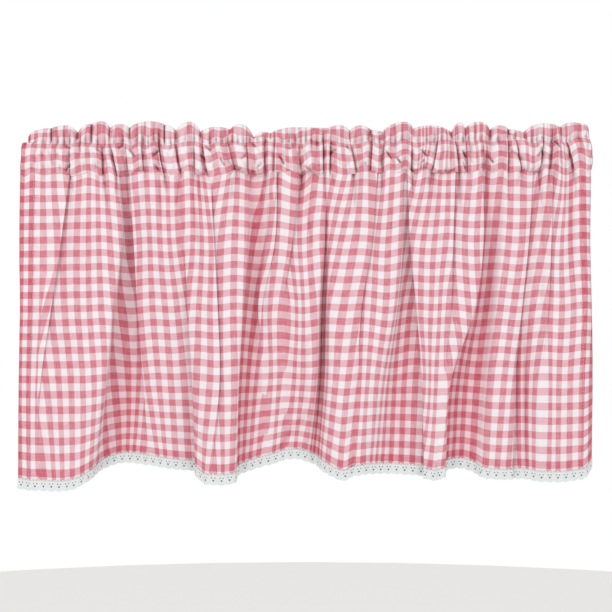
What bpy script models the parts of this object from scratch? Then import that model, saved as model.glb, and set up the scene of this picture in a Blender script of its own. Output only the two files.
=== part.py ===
"""Gathered window valance: a rod-pocket heading with a ruffle, a hanging skirt and a lace hem.

X runs along the valance, -Y faces the room and Z is up. The origin is the middle of the upper seam of
the rod pocket, where a rod carries the cloth. Sizes are millimetres until a mesh is made, and
"forward" is the distance that the cloth stands out towards the room.
"""

from collections import namedtuple
import math

import bmesh
import bpy
import numpy as np

MM = 0.001

# Cloth, lace and the clearance between sewn pieces
SHEET = 1.6
LACE_SHEET = 1.2
SEAM_GAP = 0.3
LACE_GAP = 0.4

# Heading: the two seams of the rod pocket rise a little towards +X
HALF_WIDTH = 355.0
UPPER_SEAM = 1.7
UPPER_RISE = 2.0
LOWER_SEAM = -38.2
LOWER_RISE = 2.4
HALF_SEAM = 1.2
POCKET_FRONT = 8.5
POCKET_BACK = 8.5
POCKET_WALL = 1.9
RUFFLE_LEAN = 0.45
RUFFLE_MEAN = 18.0

# Skirt: the height of the cloth's lower edge where a fold states none, and the lace below it
HEM = -401.0
LACE_BELOW = 12.0
LACE_OVERLAP = 3.0
SCALLOP = 2.0
PANEL_STEP = 9.5
PANEL_ROWS = 15
HEADING_STEP = 9.0

# How far down the skirt each fold is measured, from the seam to the hem
DROPS = (0.0, 81.0, 166.0, 251.0, 362.0)
# The hem's unevenness starts this share of the way down
WAVE_START = 0.35

Fold = namedtuple("Fold", "name x forward lace_bottom")
FOLDS = (
    Fold("left edge", (-352, -354.5, -354, -355, -355.5), (0, 0, 2, 4, 6), -427),
    Fold("left side hem", (-334, -336, -337, -340, -341), (1, 3, 6, 9, 12), -428.5),
    Fold("soft crease", (-291, -302, -317, -325, -320), (3, 9, 13, 15, 17), -428.5),
    Fold("flat beside it", (-276, -277, -280, -290, -294), (0, 4, 10, 14, 19), -428.5),
    Fold("first fold crown", (-246, -243, -248, -260, -276), (3, 10, 15, 19, 21), -423),
    Fold("first fold edge", (-232, -228, -237, -246, -263), (3, 8, 14, 16, 14), -415),
    Fold("first fold wall", (-229, -225, -233, -241, -252), (-3, -5, -6, -7, -9), -406),
    Fold("first recess", (-222, -218, -221, -224, -234), (-5, -10, -14, -18, -22), -399.5),
    Fold("recess side", (-215, -211, -207, -202, -198), (-1, -4, -8, -13, -20), -401),
    Fold("shallow rise", (-178, -177, -176, -173, -170), (3, 2, -2, -7, -13), -405),
    Fold("box fold foot", (-157, -152, -147, -144, -141), (0, -2, -5, -9, -11), -409),
    Fold("box fold left", (-150, -144, -140, -135, -128), (3, 4, 6, 10, 13), -418),
    Fold("box fold ridge", (-116, -115, -108, -107, -115), (4, 9, 14, 19, 20), -421),
    Fold("box fold right", (-84, -86, -90, -93, -97), (4, 9, 14, 18, 19), -421),
    Fold("second edge", (-71, -72, -78, -83, -87), (3, 7, 11, 14, 15), -419),
    Fold("second wall", (-67, -68.5, -74, -78, -80.5), (-3, -4, -5, -7, -6), -412),
    Fold("second recess", (-59, -60, -63, -66, -71), (-3, -8, -12, -13, -11), -407.5),
    Fold("fine ridge one", (-37, -43, -51, -50, -45), (3, 0, -5, -10, -17), -401),
    Fold("fine ridge two", (-12, -18, -26, -28, -24), (1, 3, -1, -9, -22), -394.5),
    Fold("fine ridge three", (3, 5, 3, -3, -7), (0, 4, 5, -4, -23), -394.5),
    Fold("slit edge", (20, 18, 11, 9, 5), (3, 6, 8, 3, -20), -397),
    Fold("slit bottom", (25, 24.5, 20, 18, 14), (-4, -13, -18, -21, -29), -401),
    Fold("slit far side", (31, 31, 29.5, 27.5, 23), (2, 4, 8, 8, -3), -407),
    Fold("middle flat", (48, 46, 44, 43, 42), (3, 8, 12, 13, 11), -416.5),
    Fold("middle valley", (84, 79, 68, 64, 60), (0, 4, 7, 9, 8), -412),
    Fold("third crown", (104, 103, 95, 82, 67), (4, 9, 12, 12, 9), -411),
    Fold("third edge", (114, 116, 108.5, 92, 76), (3, 6, 9, 8, 6), -410),
    Fold("third recess", (120, 123, 122, 113, 101), (-4, -7, -8, -6, -4), -410),
    Fold("recess far side", (129, 131, 139, 143, 144), (0, -3, -4, -1, 4), -414.5),
    Fold("right box left", (143, 148, 153, 156, 156), (4, 8, 10, 11, 13), -417),
    Fold("right box crown", (183, 181, 176, 165, 163), (2, 8, 12, 13, 13), -415.5),
    Fold("fourth edge", (214, 216, 207, 178, 171), (4, 8, 10, 11, 9), -412),
    Fold("fourth wall", (218, 220, 212, 185, 178), (-3, -4, -6, -8, -8), -407),
    Fold("fourth recess", (228, 229, 221, 202, 194), (-4, -8, -11, -13, -13), -404.5),
    Fold("step foot", (241, 236, 229, 219, 210), (-1, -4, -8, -9, -8), -409),
    Fold("step edge", (247, 242, 235, 227, 219), (3, 4, 5, 4, 3), -414),
    Fold("right flat", (261, 257, 250, 244, 240), (3, 6, 8, 9, 9), -416),
    Fold("close pleats", (280, 277, 268, 263, 262), (-1, 0, 0, -1, 1), -416),
    Fold("right crown", (301, 300, 298, 301, 305), (3, 7, 10, 12, 11), -418.5),
    Fold("soft valley", (325, 329, 331, 332, 332), (0, 4, 8, 10, 9), -416.5),
    Fold("right side hem", (341, 342, 344, 345, 345), (3, 6, 8, 8, 5), -414),
    Fold("right edge", (351, 351.5, 354, 355.5, 355), (0, 0, 0, -2, -5), -402),
)

# The ruffle's top edge: its height at each peak and notch
Ruffle = namedtuple("Ruffle", "x height")
RUFFLE = (
    Ruffle(-343, 10.5),
    Ruffle(-316, 18),
    Ruffle(-296, 21.5),
    Ruffle(-283, 12),
    Ruffle(-266, 23),
    Ruffle(-252, 26.5),
    Ruffle(-243, 19),
    Ruffle(-229, 23),
    Ruffle(-219, 19),
    Ruffle(-192, 26.5),
    Ruffle(-174, 22),
    Ruffle(-161, 15),
    Ruffle(-144, 26),
    Ruffle(-131, 14),
    Ruffle(-111, 19.5),
    Ruffle(-94, 17),
    Ruffle(-81, 23),
    Ruffle(-65, 6),
    Ruffle(-52, 13.5),
    Ruffle(-44, 12),
    Ruffle(-14, 19),
    Ruffle(27, 19),
    Ruffle(42, 21.5),
    Ruffle(54, 15.5),
    Ruffle(67, 21.5),
    Ruffle(81, 15.5),
    Ruffle(95, 14),
    Ruffle(122, 26),
    Ruffle(133, 18),
    Ruffle(155, 21.5),
    Ruffle(180, 13),
    Ruffle(191, 25.5),
    Ruffle(197, 18),
    Ruffle(214, 26),
    Ruffle(228, 16.5),
    Ruffle(240, 21.5),
    Ruffle(251, 16.5),
    Ruffle(270, 13),
    Ruffle(293, 24),
    Ruffle(315, 20),
    Ruffle(328, 25),
    Ruffle(349, 21.5),
)

# Tucks of the rod pocket: where each meets the seams, and how deep it cuts the puffs (0 none, 1 full)
Tuck = namedtuple("Tuck", "upper lower top middle bottom")
TUCKS = (
    Tuck(-350, -352, 0.3, 0.4, 0.4),
    Tuck(-291, -290, 0.5, 0.9, 1.0),
    Tuck(-252, -250, 0.3, 0.8, 1.0),
    Tuck(-241, -232, 0.3, 0.9, 1.0),
    Tuck(-222, -219, 0.3, 0.7, 0.9),
    Tuck(-203, -200, 0.8, 0.6, 0.2),
    Tuck(-183, -175, 1.0, 1.0, 0.9),
    Tuck(-162, -155, 1.0, 0.9, 1.0),
    Tuck(-138, -136, 0.3, 0.9, 1.0),
    Tuck(-128, -121, 0.3, 0.9, 0.8),
    Tuck(-97, -87, 0.2, 0.6, 1.0),
    Tuck(-73, -70, 1.0, 0.6, 0.5),
    Tuck(-52, -51, 0.8, 1.0, 1.0),
    Tuck(-38, -39, 0.3, 0.5, 0.9),
    Tuck(-9, -4, 0.3, 0.7, 0.9),
    Tuck(21, 21, 0.9, 1.0, 1.0),
    Tuck(30, 29, 0.4, 1.0, 1.0),
    Tuck(55, 62, 0.3, 0.8, 1.0),
    Tuck(82, 80, 0.9, 0.4, 0.3),
    Tuck(96, 95, 0.3, 0.8, 0.6),
    Tuck(130, 129, 0.3, 0.8, 1.0),
    Tuck(163, 155, 0.9, 0.6, 0.9),
    Tuck(184, 188, 0.4, 0.9, 0.8),
    Tuck(197, 199, 0.3, 0.6, 0.9),
    Tuck(222, 224, 0.4, 0.3, 0.4),
    Tuck(249, 248, 0.4, 1.0, 1.0),
    Tuck(258, 265, 0.3, 0.9, 0.9),
    Tuck(293, 287, 1.0, 0.9, 0.6),
    Tuck(304, 301, 1.0, 1.0, 1.0),
    Tuck(322, 330, 0.5, 1.0, 1.0),
    Tuck(350, 351, 0.3, 0.4, 0.5),
)
# A wide puff stands further out than a narrow one, up to a limit
PUFF_PER_WIDTH = 0.3
LEAST_PUFF = 2.5
MOST_PUFF = 8.0
END_BULGE = 3.5

# Stations around the heading, as shares of the pocket's height and of the ruffle's
POCKET_STATIONS = (0.0, 0.12, 0.3, 0.5, 0.7, 0.88, 1.0)
RUFFLE_STATIONS = (0.4, 1.0)
CHANNEL_STATIONS = (0.2, 0.38, 0.62, 0.8)
CHANNEL_ENDS = (0.11, 0.89)


def smooth(knots, values, at):
    """A smooth curve through values at their knots, read at each place in at."""
    knots = np.asarray(knots, float)
    values = np.asarray(values, float)
    step = np.diff(knots)
    slope = np.diff(values) / step
    tangent = np.concatenate([slope[:1], slope[:-1], slope[-1:]])
    tangent[1:-1] = (slope[:-1] * step[1:] + slope[1:] * step[:-1]) / (step[:-1] + step[1:])
    i = np.clip(np.searchsorted(knots, at, side="right") - 1, 0, len(step) - 1)
    u = (at - knots[i]) / step[i]
    rise = values[i + 1] - values[i]
    ease = u * u * (3 - 2 * u)
    leave = tangent[i] * step[i] * u * (1 - u) ** 2
    arrive = tangent[i + 1] * step[i] * u * u * (u - 1)
    return values[i] + rise * ease + leave + arrive


def ease_in(share):
    """0 to 1 with a gentle start and end."""
    share = np.clip(share, 0.0, 1.0)
    return share * share * (3 - 2 * share)


def upper_seam(x):
    return UPPER_SEAM + UPPER_RISE * x / HALF_WIDTH


def lower_seam(x):
    return LOWER_SEAM + LOWER_RISE * x / HALF_WIDTH


def fold_places():
    """Where each fold lies along the cloth: the length between folds, averaged over the levels."""
    x = np.array([fold.x for fold in FOLDS], float)
    forward = np.array([fold.forward for fold in FOLDS], float)
    between = np.hypot(np.diff(x, axis=0), np.diff(forward, axis=0)).mean(axis=1)
    return np.concatenate([[0.0], np.cumsum(between)])


def split_evenly(stops, longest):
    """The stops with even places added so that no step is longer than longest."""
    places = [stops[0]]
    for low, high in zip(stops[:-1], stops[1:]):
        count = max(1, math.ceil((high - low) / longest))
        places.extend(low + (high - low) * (k + 1) / count for k in range(count))
    return np.array(places)


def skirt_points(along, down):
    """Rows of points on the skirt's middle surface, at places along the cloth and shares of its drop."""
    places = fold_places()
    levels = np.array(DROPS) / DROPS[-1]
    x_levels = [smooth(places, [fold.x[k] for fold in FOLDS], along) for k in range(len(DROPS))]
    forward_levels = [smooth(places, [fold.forward[k] for fold in FOLDS], along) for k in range(len(DROPS))]
    hem = smooth(places, [fold.lace_bottom for fold in FOLDS], along) + LACE_BELOW
    points = np.zeros((len(down), len(along), 3))
    for column in range(len(along)):
        x = smooth(levels, [level[column] for level in x_levels], down)
        forward = smooth(levels, [level[column] for level in forward_levels], down)
        top = lower_seam(x[0]) - SEAM_GAP / 2
        wave = (hem[column] - HEM) * ease_in((down - WAVE_START) / (1 - WAVE_START))
        points[:, column, 0] = x
        points[:, column, 1] = -forward
        points[:, column, 2] = top + (HEM - top) * down + wave
    return points


def front_normals(points):
    """Unit normals of a grid of points, on its room side."""
    down, across = np.gradient(points, axis=0), np.gradient(points, axis=1)
    normal = np.cross(across, -down)
    normal *= np.where(normal[..., 1:2] > 0, -1.0, 1.0)
    return normal / np.linalg.norm(normal, axis=2, keepdims=True)


def grid_faces(rows, columns):
    """Quads of a grid whose points run row by row, facing the room."""
    corner = [r * columns + c for r in range(rows - 1) for c in range(columns - 1)]
    return [(i, i + columns, i + columns + 1, i + 1) for i in corner]


def material(name, colour, roughness):
    made = bpy.data.materials.new(name)
    made.use_nodes = True
    shader = made.node_tree.nodes["Principled BSDF"]
    shader.inputs["Base Color"].default_value = (*colour, 1.0)
    shader.inputs["Roughness"].default_value = roughness
    shader.inputs["Metallic"].default_value = 0.0
    made.diffuse_color = (*colour, 1.0)
    return made


def add_object(name, mesh, look):
    mesh.materials.append(look)
    mesh.shade_smooth()
    made = bpy.data.objects.new(name, mesh)
    bpy.context.scene.collection.objects.link(made)
    return made


def add_sheet(name, back, front, look):
    """A closed sheet between two grids of points, the front one on the room side."""
    rows, columns = front.shape[:2]
    behind = rows * columns
    faces = grid_faces(rows, columns)
    faces += [tuple(behind + i for i in face[::-1]) for face in faces]
    rim = [r * columns for r in range(rows)]
    rim += [(rows - 1) * columns + c for c in range(1, columns)]
    rim += [r * columns + columns - 1 for r in range(rows - 2, -1, -1)]
    rim += list(range(columns - 2, 0, -1))
    faces += [(i, i + behind, j + behind, j) for i, j in zip(rim, rim[1:] + rim[:1])]
    points = np.concatenate([front.reshape(-1, 3), back.reshape(-1, 3)]) * MM
    mesh = bpy.data.meshes.new(name)
    mesh.from_pydata(points.tolist(), [], faces)
    return add_object(name, mesh, look)


def skirt_columns():
    return split_evenly(fold_places(), PANEL_STEP)


def skirt_shares():
    """Even rows down the skirt, and a last row apart where the lace overlaps it."""
    overlap = 1 - LACE_OVERLAP / DROPS[-1]
    return np.append(np.linspace(0.0, overlap, PANEL_ROWS), 1.0)


def make_panel(look):
    skirt = skirt_points(skirt_columns(), skirt_shares())
    half = front_normals(skirt) * SHEET / 2
    return add_sheet("panel", skirt - half, skirt + half, look)


def lace_layer(skirt, normals, stand_off):
    """One face of the lace: its overlap on the hem, the hem, and its scalloped lower edge."""
    seat = (skirt + normals * stand_off)[-2:]
    rows = np.zeros((3, 2 * seat.shape[1] - 1, 3))
    rows[:2, 0::2] = seat
    rows[:2, 1::2] = (seat[:, :-1] + seat[:, 1:]) / 2
    slope = (rows[1] - rows[0]) / (rows[0, :, 2:] - rows[1, :, 2:])
    below = np.full((rows.shape[1], 1), LACE_BELOW)
    below[0::2] -= SCALLOP
    rows[2] = rows[1] + slope * below
    return rows


def make_lace(look):
    """The lace strip in front of the hem, one scallop to each column of the skirt."""
    skirt = skirt_points(skirt_columns(), skirt_shares())
    normals = front_normals(skirt)
    back = SHEET / 2 + LACE_GAP
    back_layer = lace_layer(skirt, normals, back)
    return add_sheet("lace_trim", back_layer, lace_layer(skirt, normals, back + LACE_SHEET), look)


def tuck_depth(tuck, share):
    """How deep a tuck cuts at a share of the pocket's height, 0 at the lower seam."""
    return np.interp(share, (0.0, 0.5, 1.0), (tuck.bottom, tuck.middle, tuck.top))


def bulge(share):
    """The pocket's section: nothing at its seams and nearly square between them."""
    return math.sin(math.pi * share) ** 0.35 if 0 < share < 1 else 0.0


def pocket_columns():
    """Each column of the heading, as the tuck before it and its phase on the way to the next."""
    columns = []
    for i in range(len(TUCKS) - 1):
        width = TUCKS[i + 1].upper - TUCKS[i].upper
        count = max(2, math.ceil(width / HEADING_STEP))
        columns.extend((i, k / count) for k in range(count))
    return columns + [(len(TUCKS) - 2, 1.0)]


def seam_forward(x):
    """How far forward the skirt's top edge runs at x."""
    return np.interp(x, [fold.x[0] for fold in FOLDS], [fold.forward[0] for fold in FOLDS])


def pocket_point(column, share, side):
    """A point of the pocket's outer surface; side is 1 for the front wall and -1 for the back."""
    i, phase = column
    before, after = TUCKS[i], TUCKS[i + 1]
    upper = before.upper + (after.upper - before.upper) * phase
    lower = before.lower + (after.lower - before.lower) * phase
    x = lower + (upper - lower) * share
    x += END_BULGE * math.sin(math.pi * share) * max(0.0, x / HALF_WIDTH) ** 40
    z = lower_seam(x) + SEAM_GAP / 2 + (upper_seam(x) - lower_seam(x) - SEAM_GAP / 2) * share
    puff = min(MOST_PUFF, LEAST_PUFF + PUFF_PER_WIDTH * (after.upper - before.upper))
    depth = tuck_depth(before, share) * (1 - phase) + tuck_depth(after, share) * phase
    roundness = math.sin(math.pi * phase) ** 0.7 if 0 < phase < 1 else 0.0
    if side > 0:
        out = POCKET_FRONT + puff * (1 - depth * (1 - roundness))
    else:
        out = POCKET_BACK + puff * 0.3 * roundness
    seam = seam_forward(x) * (1 - share) ** 3
    forward = seam * (1 - bulge(share)) + side * (HALF_SEAM + bulge(share) * out)
    return x, forward, z


def ruffle_point(column, share, side):
    x, _, z = pocket_point(column, 1.0, side)
    from_left = x - TUCKS[0].upper
    x += 6.5 * math.exp(-from_left / 12.0)
    height = smooth([row.x for row in RUFFLE], [row.height for row in RUFFLE], np.array([x]))[0]
    lean = RUFFLE_LEAN * (height - RUFFLE_MEAN) * share
    return x, lean + side * HALF_SEAM, z + (height - z) * share


def heading_ring(column):
    """The outer ring of the heading at one column: up its front and down its back."""
    front = [pocket_point(column, share, 1) for share in POCKET_STATIONS]
    front += [ruffle_point(column, share, 1) for share in RUFFLE_STATIONS]
    back = [pocket_point(column, share, -1) for share in POCKET_STATIONS]
    back += [ruffle_point(column, share, -1) for share in RUFFLE_STATIONS]
    return front + back[::-1]


def channel_ring(column):
    """The channel for the rod at one column, one wall's thickness inside the pocket."""
    ring = []
    for share in CHANNEL_STATIONS:
        x, forward, z = pocket_point(column, share, 1)
        ring.append((x, forward - POCKET_WALL, z))
    x, _, z = pocket_point(column, CHANNEL_ENDS[1], 1)
    ring.append((x, 0.0, z))
    for share in CHANNEL_STATIONS[::-1]:
        x, forward, z = pocket_point(column, share, -1)
        ring.append((x, forward + POCKET_WALL, z))
    x, _, z = pocket_point(column, CHANNEL_ENDS[0], 1)
    return ring + [(x, 0.0, z)]


def add_tube(bm, rings):
    """A skin over rings of equal length, and the edges of its two end rings."""
    loops = []
    for ring in rings:
        loops.append([bm.verts.new((x * MM, -forward * MM, z * MM)) for x, forward, z in ring])
    count = len(loops[0])
    for near, far in zip(loops[:-1], loops[1:]):
        for k in range(count):
            after = (k + 1) % count
            bm.faces.new((near[k], far[k], far[after], near[after]))
    ends = []
    for loop in (loops[0], loops[-1]):
        ends.append([bm.edges.get((loop[k], loop[(k + 1) % count])) for k in range(count)])
    return ends


def make_heading(look):
    """Rod pocket and ruffle as one closed skin with the channel running right through it."""
    columns = pocket_columns()
    bm = bmesh.new()
    outer_ends = add_tube(bm, [heading_ring(column) for column in columns])
    channel_ends = add_tube(bm, [channel_ring(column) for column in columns])
    for outer, inner in zip(outer_ends, channel_ends):
        bmesh.ops.bridge_loops(bm, edges=outer + inner)
    bmesh.ops.triangulate(bm, faces=bm.faces[:])
    bmesh.ops.recalc_face_normals(bm, faces=bm.faces[:])
    mesh = bpy.data.meshes.new("heading")
    bm.to_mesh(mesh)
    bm.free()
    return add_object("heading", mesh, look)


def main():
    for old in list(bpy.data.objects):
        bpy.data.objects.remove(old, do_unlink=True)
    gingham = material("gingham cotton", (0.72, 0.28, 0.34), 0.9)
    gathered = material("gathered gingham", (0.66, 0.22, 0.29), 0.9)
    lace = material("cotton lace", (0.86, 0.88, 0.87), 0.85)
    make_heading(gathered)
    make_panel(gingham)
    make_lace(lace)


main()
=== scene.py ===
# %% [markdown]
# # A gathered gingham valance
# The object is a short curtain for the top of a window: a skirt of woven check cotton, a heading sewn as
# a tube for the rod with a small ruffle above it, and a narrow lace along the hem. The imported model gives
# a plain solid for each of the three. Here each one gets the thin cloth that a person would see, laid in
# the same folds. The frame is loaded first.

# %% Load the frame
import math
from collections import namedtuple

import bpy
import numpy as np
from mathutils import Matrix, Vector, noise
from mathutils.geometry import delaunay_2d_cdt


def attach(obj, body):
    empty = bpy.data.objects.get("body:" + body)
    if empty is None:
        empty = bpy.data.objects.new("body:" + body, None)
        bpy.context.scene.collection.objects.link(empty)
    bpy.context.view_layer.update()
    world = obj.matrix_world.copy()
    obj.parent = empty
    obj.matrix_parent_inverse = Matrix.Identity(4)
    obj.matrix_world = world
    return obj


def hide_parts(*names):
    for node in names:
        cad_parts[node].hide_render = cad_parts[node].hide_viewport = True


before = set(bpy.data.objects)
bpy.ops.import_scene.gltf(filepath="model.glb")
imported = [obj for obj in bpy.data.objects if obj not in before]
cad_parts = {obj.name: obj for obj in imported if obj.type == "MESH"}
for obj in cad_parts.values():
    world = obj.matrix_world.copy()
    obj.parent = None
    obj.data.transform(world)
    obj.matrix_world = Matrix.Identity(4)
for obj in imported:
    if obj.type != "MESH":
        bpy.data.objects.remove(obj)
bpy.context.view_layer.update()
MM = 0.001
print("solids:", sorted(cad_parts))

# %% [markdown]
# ## Camera and light
# The valance is seen straight from the front, so the camera is level and looks along +Y. Its lens follows
# from its distance and the width that the picture takes in. A soft lamp high on the left gives the folds
# their shade, a larger and weaker one from the right keeps the recesses readable, and a white world fills
# the rest. A pale floor lies well below the cloth, and its far part shows at the lower edge of this view.

# %% Camera, lamps and floor
PICTURE_WIDTH = 0.7545
CAMERA_DISTANCE = 1.7
REFERENCE_PLANE = -0.008
PICTURE_CENTRE = -0.2016
SENSOR = 36.0
FLOOR_HEIGHT = -1.15
FLOOR_RADIUS = 3.4
WORLD_SEEN = 1.0
WORLD_CAST = 0.86


def add_object(name, data):
    made = bpy.data.objects.new(name, data)
    bpy.context.scene.collection.objects.link(made)
    return made


def add_camera():
    lens = bpy.data.cameras.new("camera")
    lens.sensor_width = SENSOR
    lens.lens = SENSOR * CAMERA_DISTANCE / PICTURE_WIDTH
    made = add_object("camera", lens)
    made.location = (0.0, REFERENCE_PLANE - CAMERA_DISTANCE, PICTURE_CENTRE)
    made.rotation_euler = (math.radians(90.0), 0.0, 0.0)
    bpy.context.scene.camera = made
    return made


def add_lamp(name, place, target, size, power):
    light = bpy.data.lights.new(name, "AREA")
    light.shape = "DISK"
    light.size = size
    light.energy = power
    made = add_object(name, light)
    made.location = place
    made.rotation_euler = (Vector(target) - Vector(place)).to_track_quat("-Z", "Y").to_euler()


camera = add_camera()
middle = (0.0, 0.0, PICTURE_CENTRE)
add_lamp("key lamp", (-1.35, -2.1, 1.0), middle, 0.8, 15.0)
add_lamp("fill lamp", (1.7, -1.9, 0.2), middle, 1.4, 6.0)


def add_world():
    """A white world that looks brighter than the light that it casts on the cloth."""
    world = bpy.data.worlds.new("white world")
    world.use_nodes = True
    tree = world.node_tree
    path = tree.nodes.new("ShaderNodeLightPath")
    strength = tree.nodes.new("ShaderNodeMix")
    strength.inputs[2].default_value = WORLD_CAST
    strength.inputs[3].default_value = WORLD_SEEN
    tree.links.new(path.outputs["Is Camera Ray"], strength.inputs[0])
    background = tree.nodes["Background"]
    background.inputs["Color"].default_value = (1.0, 1.0, 1.0, 1.0)
    tree.links.new(strength.outputs[0], background.inputs["Strength"])
    bpy.context.scene.world = world


add_world()
bpy.context.scene.view_settings.view_transform = "Standard"
bpy.ops.mesh.primitive_circle_add(
    vertices=64, radius=FLOOR_RADIUS, fill_type="NGON", location=(0, 0, FLOOR_HEIGHT))
floor = bpy.context.object
floor.name = "floor"
print("lens: %.1f mm" % camera.data.lens)

# %% [markdown]
# ## Sums with sockets
# A material's pattern is easier to read as a sum than as a web of nodes. `Value` wraps one output socket,
# and adding, subtracting or multiplying it adds the Math node that does so. Every other node comes from
# `Look.node`, which takes the node's type, its settings and what goes into its sockets. The nodes that are
# needed often have short methods of their own, which call it.

# %% Materials as expressions
def linear(red, green, blue):
    """A colour given in the 0 to 255 steps of a picture, as the shader's own light values."""
    steps = (np.array([red, green, blue]) / 255.0).tolist()
    return tuple(c / 12.92 if c <= 0.04045 else ((c + 0.055) / 1.055) ** 2.4 for c in steps) + (1.0,)


class Value:
    """One output socket, usable in sums."""

    def __init__(self, look, socket):
        self.look = look
        self.socket = socket

    def math(self, operation, *others):
        return self.look.node("ShaderNodeMath", {"operation": operation}, (self,) + others)

    def __add__(self, other):
        return self.math("ADD", other)

    def __mul__(self, other):
        return self.math("MULTIPLY", other)

    def __sub__(self, other):
        return self.math("SUBTRACT", other)

    def __rsub__(self, other):
        return self.look.node("ShaderNodeMath", {"operation": "SUBTRACT"}, (other, self))

    __radd__ = __add__
    __rmul__ = __mul__

    def clipped(self):
        return self.math("MAXIMUM", 0.0).math("MINIMUM", 1.0)


class Look:
    """A material whose nodes are added one by one."""

    def __init__(self, name, **uniform):
        self.material = bpy.data.materials.new(name)
        self.material.use_nodes = True
        self.tree = self.material.node_tree
        self.shader = self.tree.nodes["Principled BSDF"]
        for socket, value in uniform.items():
            self.shader.inputs[socket.replace("_", " ")].default_value = value

    def node(self, kind, settings, inputs, output=0):
        made = self.tree.nodes.new(kind)
        for name, value in settings.items():
            setattr(made, name, value)
        pairs = inputs.items() if isinstance(inputs, dict) else enumerate(inputs)
        for key, value in pairs:
            if isinstance(value, Value):
                self.tree.links.new(value.socket, made.inputs[key])
            else:
                made.inputs[key].default_value = value
        return Value(self, made.outputs[output])

    def mix(self, factor, low, high, blend="MIX"):
        """A colour between two colours, or one tinted by the other with the blend MULTIPLY."""
        settings = {"data_type": "RGBA", "blend_type": blend}
        return self.node("ShaderNodeMix", settings, {0: factor, 6: low, 7: high}, 2)

    def noise(self, place, scale, detail):
        settings = {"noise_dimensions": "3D"}
        return self.node("ShaderNodeTexNoise", settings, {"Vector": place, "Scale": scale, "Detail": detail})

    def place(self, x, y, z):
        return self.node("ShaderNodeCombineXYZ", {}, (x, y, z))

    def cloth(self):
        """The cloth's own coordinates, as one vector and as its two numbers."""
        vector = self.node("ShaderNodeUVMap", {"uv_map": "cloth"}, ())
        across, down = (self.node("ShaderNodeSeparateXYZ", {}, (vector,), k) for k in (0, 1))
        return vector, across, down

    def mask(self, name):
        return self.node("ShaderNodeAttribute", {"attribute_name": name}, (), 2)

    def bump(self, strength, depth, height):
        return self.node("ShaderNodeBump", {}, {"Strength": strength, "Distance": depth, "Height": height})

    def feed(self, **sockets):
        for name, value in sockets.items():
            self.tree.links.new(value.socket, self.shader.inputs[name.replace("_", " ")])


# %% [markdown]
# ## Gingham
# Gingham is a plain weave with bands of red and white yarn in both directions. Where red crosses red the
# cloth is deep rose, where red crosses white it is pink, and the rest is white. The cloth's own
# coordinates carry the pattern: one step of `u` or `v` is one check repeat, so the bands follow every fold
# as a real weave does. The two pinks are nearly alike, because as much warp as weft lies on the face of a
# plain weave, and the yarns show as fine streaks in them. Where the cloth is doubled at a hem it looks
# deeper. In a recess the reds are painted deeper as well, as painted bounce light from red yarn to red yarn,
# and painted shade darkens the recesses and the close crevices.

# %% Gingham material
REPEAT = 17.1
THREADS = 38
BAND_SHARPNESS = 34.0
EDGE_WOBBLE = 0.02
# How far a recess paints the reds deeper, as painted bounce light
PAINTED_BOUNCE_SHARE = 0.8
WHITE = linear(242, 235, 237)
WARP_PINK = linear(227, 184, 192)
WEFT_PINK = linear(229, 182, 191)
ROSE = linear(211, 119, 134)
DEEP = linear(202, 90, 110)
SLUB_TINT = linear(214, 196, 202)
# Painted shade, multiplied into the colour in recesses and in close crevices
RECESS_PAINTED_SHADE = linear(253, 228, 231)
CREVICE_PAINTED_SHADE = linear(140, 54, 70)


def band(look, along, wobble):
    """1 on the red half of a repeat, 0 on the white half."""
    off_middle = ((along + 0.5).math("FRACT") - 0.5).math("ABSOLUTE")
    return ((0.25 - off_middle + wobble) * BAND_SHARPNESS + 0.5).clipped()


def make_gingham(name):
    look = Look(name, Roughness=0.88, Sheen_Weight=0.18, Sheen_Roughness=0.5, Specular_IOR_Level=0.25)
    cloth, u, v = look.cloth()
    # Single threads differ in tone, and longer stretches of yarn are thicker or thinner
    warp_streak = look.noise(look.place(u * THREADS, v * 1.7, 0.0), 0.55, 1.0) - 0.5
    weft_streak = look.noise(look.place(u * 1.7, v * THREADS, 4.0), 0.55, 1.0) - 0.5
    warp_slub = look.noise(look.place(u * 9.0, v * 2.6, 7.0), 1.0, 2.0) - 0.5
    weft_slub = look.noise(look.place(u * 2.6, v * 9.0, 2.0), 1.0, 2.0) - 0.5
    red_warp = band(look, u, warp_streak * EDGE_WOBBLE)
    red_weft = band(look, v, weft_streak * EDGE_WOBBLE)
    over = (u * THREADS * math.pi).math("SINE") * (v * THREADS * math.pi).math("SINE")
    mixed_warp = (red_warp + red_warp * (warp_streak * 1.5 + warp_slub * 0.9 + over * 0.16)).clipped()
    mixed_weft = (red_weft + red_weft * (weft_streak * 0.8 + weft_slub * 0.7 - over * 0.16)).clipped()
    # The recess and crevice masks paint light and shade into the colour: painted bounce light deepens the reds
    # in a recess, and painted shade darkens recesses and crevices
    recess = look.mask("recess")
    doubled_and_painted_bounce = (look.mask("doubled") + recess * PAINTED_BOUNCE_SHARE).clipped()
    rose = look.mix(doubled_and_painted_bounce, ROSE, DEEP)
    weft_only = look.mix(doubled_and_painted_bounce * 0.42, WEFT_PINK, ROSE)
    warp_only = look.mix(doubled_and_painted_bounce * 0.5, WARP_PINK, ROSE)
    white_row = look.mix(mixed_warp, WHITE, warp_only)
    red_row = look.mix(mixed_warp, weft_only, rose)
    colour = look.mix(mixed_weft, white_row, red_row)
    slub = look.noise(cloth, 3.1, 4.0)
    # The slub tint is the yarn's own tone; the recess and crevice tints are painted shade
    for share, tint in ((slub * 0.16, SLUB_TINT), (recess, RECESS_PAINTED_SHADE), (look.mask("crevice"), CREVICE_PAINTED_SHADE)):
        colour = look.mix(share, colour, tint, "MULTIPLY")
    height = over * 0.5 + warp_streak * 0.8 + weft_streak * 0.8 + slub * 2.0
    look.feed(Base_Color=colour, Roughness=0.82 + slub * 0.12, Normal=look.bump(0.35, 0.0003, height))
    return look.material


gingham = make_gingham("woven gingham")
print("threads in a repeat:", THREADS)
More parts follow.
